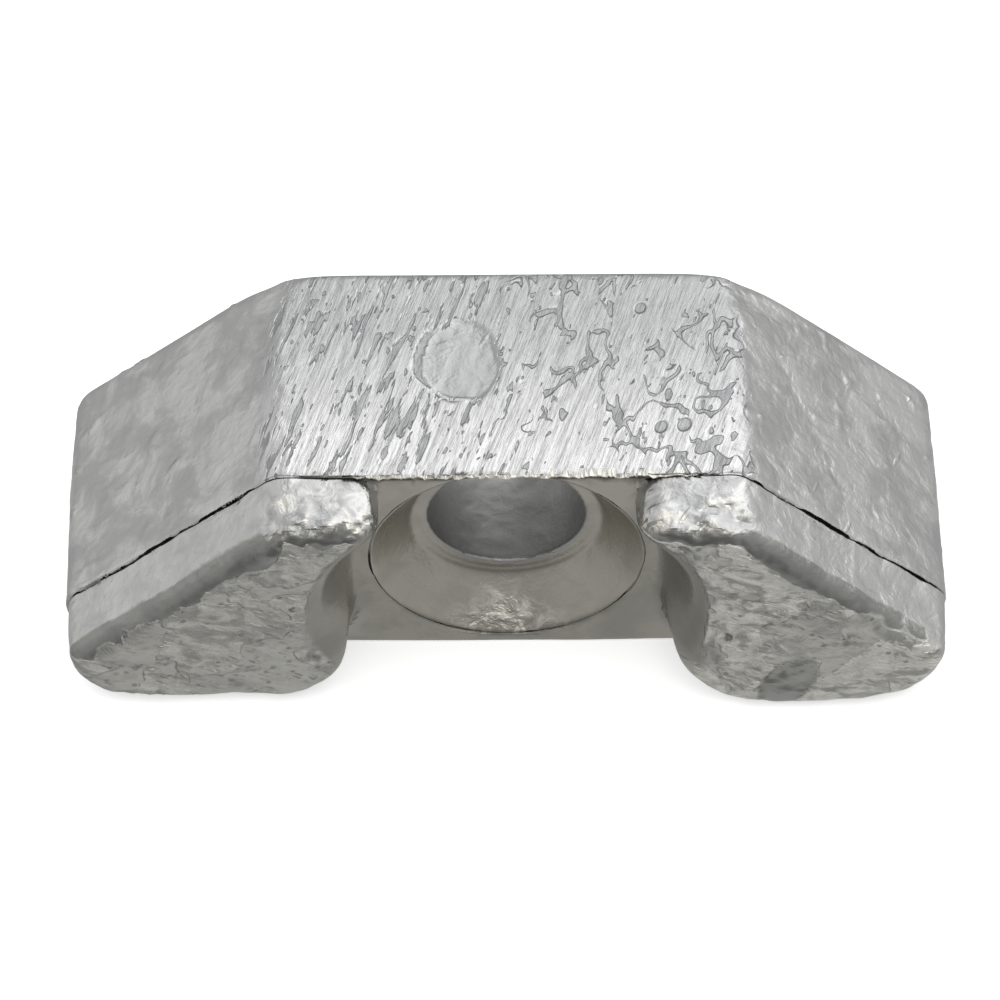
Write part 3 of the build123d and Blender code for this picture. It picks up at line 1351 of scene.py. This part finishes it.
@dataclass(frozen=True)
class Studio:
    """Pale table, soft light and the camera.

    Args:
        elevation: degrees of the camera above the horizon.
        azimuth: degrees of the camera round the object, 0 in front of it.
        distance: from the camera to what it looks at.
        scale: picture points per millimetre at the web, in a picture 1000 points wide.
        look_x: sideways place that the camera looks at.
        look_y: its place along the depth.
        look_z: its height.
        floor_z: height of the table.
        lamp_place: place of the lamp, in metres.
        lamp_size: its width, in metres.
        lamp_power: its power, in watts.
        table_glow: strength of the light that the table itself gives off.
    """

    elevation: float = 54.6
    azimuth: float = -0.5
    distance: float = 500.0
    scale: float = 17.67
    look_x: float = -7.0 / 17.67
    look_y: float = -WEB
    look_z: float = 5.45
    floor_z: float = -8.72
    lamp_place: Vec3 = (-0.05, -0.10, 0.6)
    lamp_size: float = 0.9
    lamp_power: float = 3.0
    table_glow: float = 0.42

    def table(self) -> bpy.types.Object:
        """Makes the pale table top.

        Returns:
            The table.
        """
        bpy.ops.object.select_all(action="DESELECT")
        bpy.ops.mesh.primitive_plane_add(size=4.0, location=(0, 0, self.floor_z * MM))
        table = bpy.context.active_object
        table.name = "table"
        paper = bpy.data.materials.new("paper")
        paper.use_nodes = True
        shader = paper.node_tree.nodes["Principled BSDF"]
        shader.inputs["Base Color"].default_value = (0.93, 0.93, 0.93, 1)
        shader.inputs["Roughness"].default_value = 0.9
        shader.inputs["Specular IOR Level"].default_value = 0.0
        shader.inputs["Emission Color"].default_value = (1, 1, 1, 1)
        shader.inputs["Emission Strength"].default_value = self.table_glow
        table.data.materials.append(paper)
        table.visible_glossy = False
        return table

    def light(self) -> None:
        """Lights the table and the metal by a soft room, bright overhead and behind."""
        world = bpy.data.worlds.new("room")
        bpy.context.scene.world = world
        world.use_nodes = True
        tree = world.node_tree
        background = tree.nodes["Background"]
        background.inputs["Color"].default_value = (1, 1, 1, 1)
        n = Nodes(tree, tree.nodes.new("ShaderNodeTexCoord").outputs["Generated"])
        height = n.add("ShaderNodeSeparateXYZ", "Z", in_Vector=n.place)
        strength = n.span(height, -0.15, 0.5, 0.49, 0.60)
        for glow in ROOM:
            strength = n.total(strength, glow.share(n))
        tree.links.new(strength, background.inputs["Strength"])
        bpy.ops.object.light_add(type="AREA", location=self.lamp_place)
        lamp = bpy.context.active_object
        lamp.data.size = self.lamp_size
        lamp.data.energy = self.lamp_power
        lamp.visible_glossy = False
        lamp.rotation_euler = Vector(self.lamp_place).to_track_quat("Z", "Y").to_euler()

    def camera(self) -> None:
        """Stands the camera in front and above."""
        elevation, azimuth = math.radians(self.elevation), math.radians(self.azimuth)
        back = Vector((
            math.sin(azimuth) * math.cos(elevation),
            -math.cos(azimuth) * math.cos(elevation),
            math.sin(elevation),
        ))
        target = Vector((self.look_x, self.look_y, self.look_z)) * MM
        bpy.ops.object.camera_add(location=target + back * self.distance * MM)
        camera = bpy.context.active_object
        camera.rotation_euler = back.to_track_quat("Z", "Y").to_euler()
        camera.data.sensor_width = 36.0
        camera.data.lens = 36.0 * self.distance * self.scale / 1000.0
        camera.data.clip_start, camera.data.clip_end = 0.01, 10.0
        bpy.context.scene.camera = camera

    def set_up(self) -> None:
        """Builds the whole stage."""
        self.table()
        self.light()
        self.camera()
        bpy.context.scene.view_settings.view_transform = "Standard"


def main() -> None:
    """Builds the casting and its stage."""
    logging.basicConfig(level=logging.INFO, format="%(name)s %(message)s")
    Casting().build(CastMetal())
    Studio().set_up()


if __name__ == "__main__":
    main()
